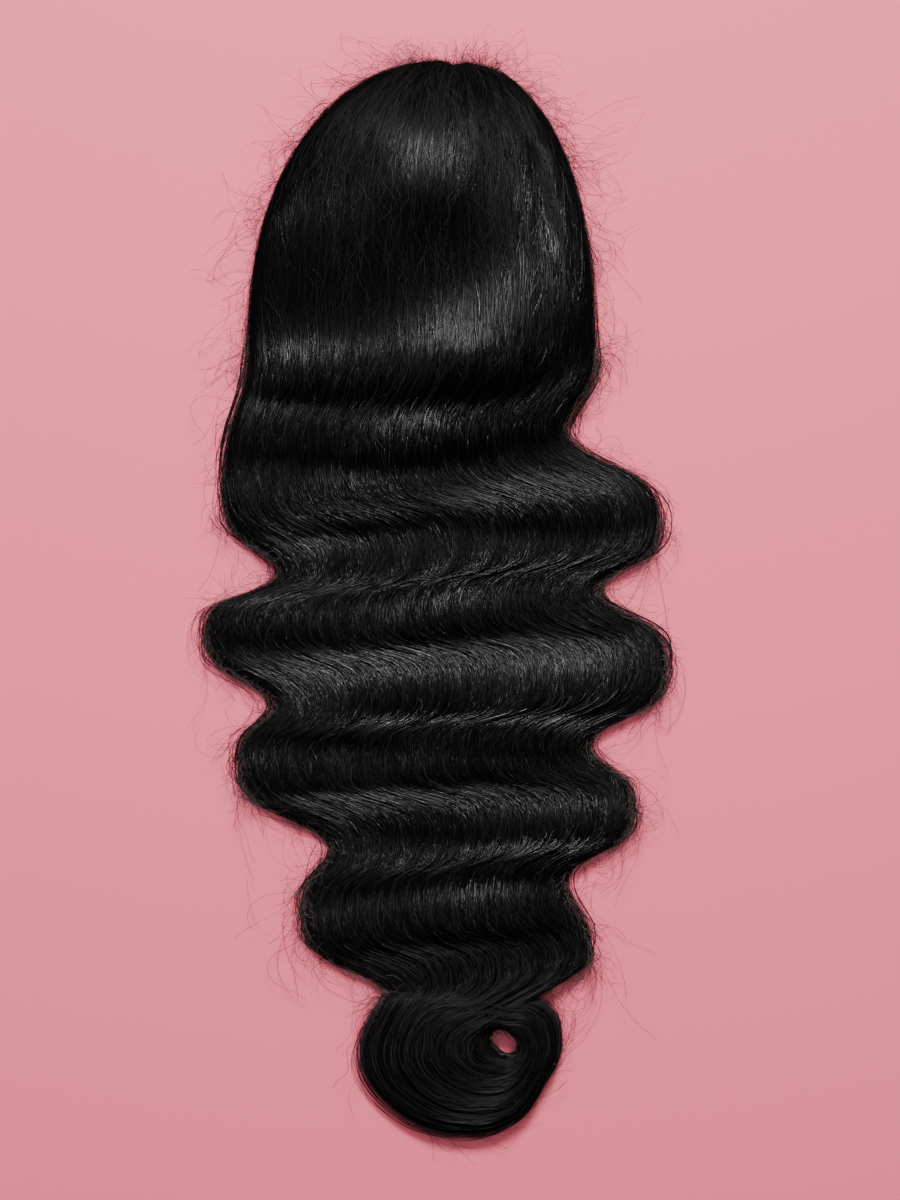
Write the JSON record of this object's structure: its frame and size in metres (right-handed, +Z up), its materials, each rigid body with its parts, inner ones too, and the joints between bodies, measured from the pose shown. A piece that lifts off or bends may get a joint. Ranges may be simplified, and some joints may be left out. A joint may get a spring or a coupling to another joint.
{
  "type": "wig",
  "caption": "Long body-wave wig resting on its open cap, parted at a lace front, its hair swept back in waves to one big curl.",
  "frame": {"origin": "middle of the footprint, on the surface that the wig rests on", "axes": "+Y towards the front hairline and the parting, -Y towards the tips and the end curl, +X to the right seen from above, +Z up through the crown"},
  "size_m": [0.336, 0.7943, 0.0912],
  "materials": {
    "hair": "glossy strands with a silky sheen",
    "lace": "fine net, matte",
    "net": "stretch net and sewn wefts, matte"
  },
  "bodies": {
    "root": {"lace_front": "lace", "weft_cap": "net", "crown_hair": "hair", "left_side_hair": "hair", "right_side_hair": "hair", "back_waves": "hair", "end_curl": "hair"}
  },
  "joints": []
}
